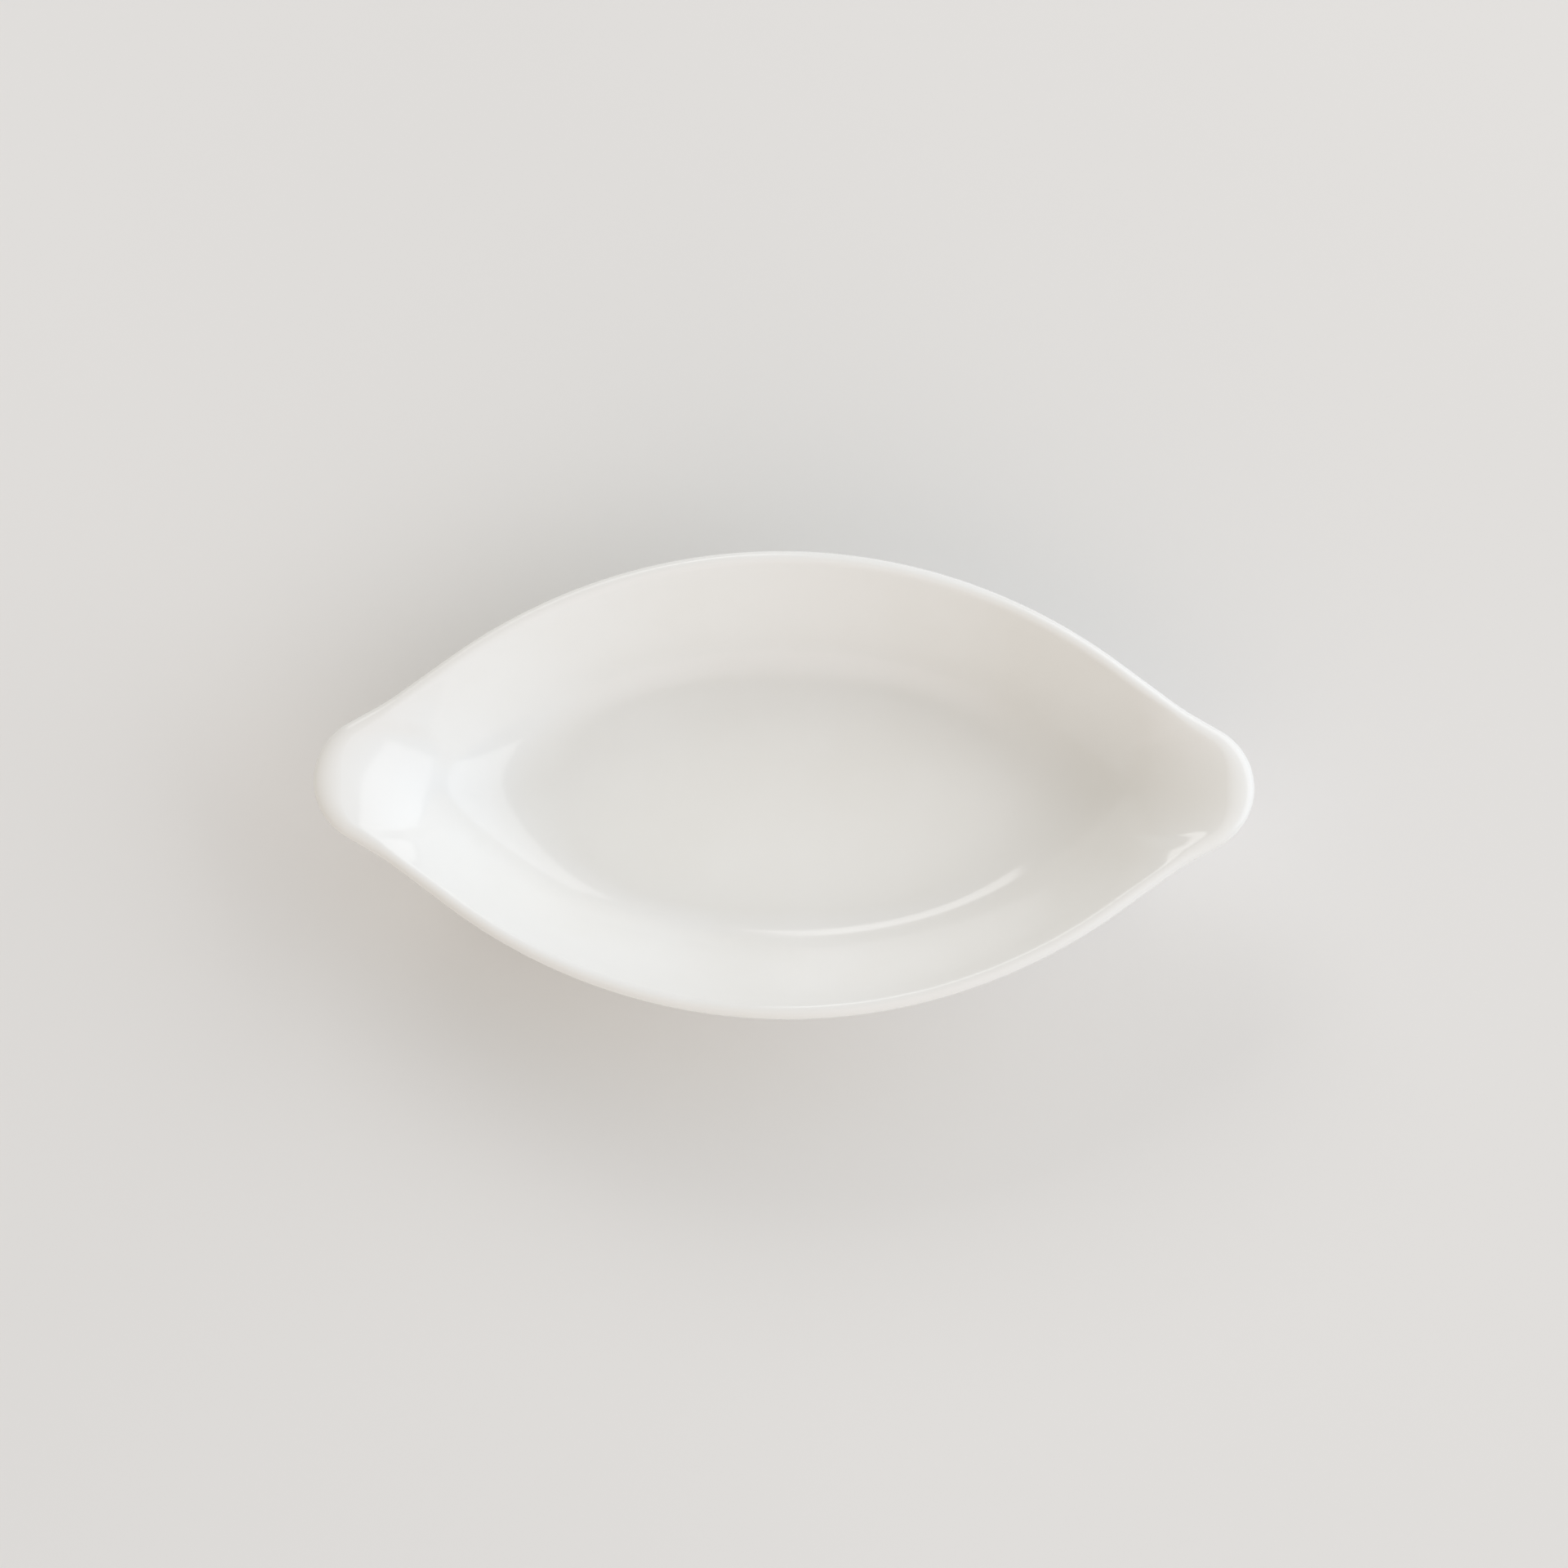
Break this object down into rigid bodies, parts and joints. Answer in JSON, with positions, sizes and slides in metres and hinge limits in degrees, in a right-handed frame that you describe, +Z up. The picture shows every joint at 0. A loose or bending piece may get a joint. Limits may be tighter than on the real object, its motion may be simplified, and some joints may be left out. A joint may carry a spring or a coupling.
{
  "type": "oval eared dish",
  "caption": "Shallow oval baking dish of glazed white porcelain with a broad ear at each end, a rounded rim and a bare foot ring.",
  "frame": {"origin": "middle of the foot ring, on the plane the dish stands on", "axes": "+X through the two ears, +Y to one long side, +Z up out of the dish"},
  "size_m": [0.203, 0.1018, 0.0325],
  "materials": {
    "bare_clay": "matte",
    "glaze": "gloss",
    "base_glaze": "gloss"
  },
  "bodies": {
    "root": {"clay_body": "bare_clay", "glaze_coat": "glaze", "base_glaze": "base_glaze"}
  },
  "joints": []
}
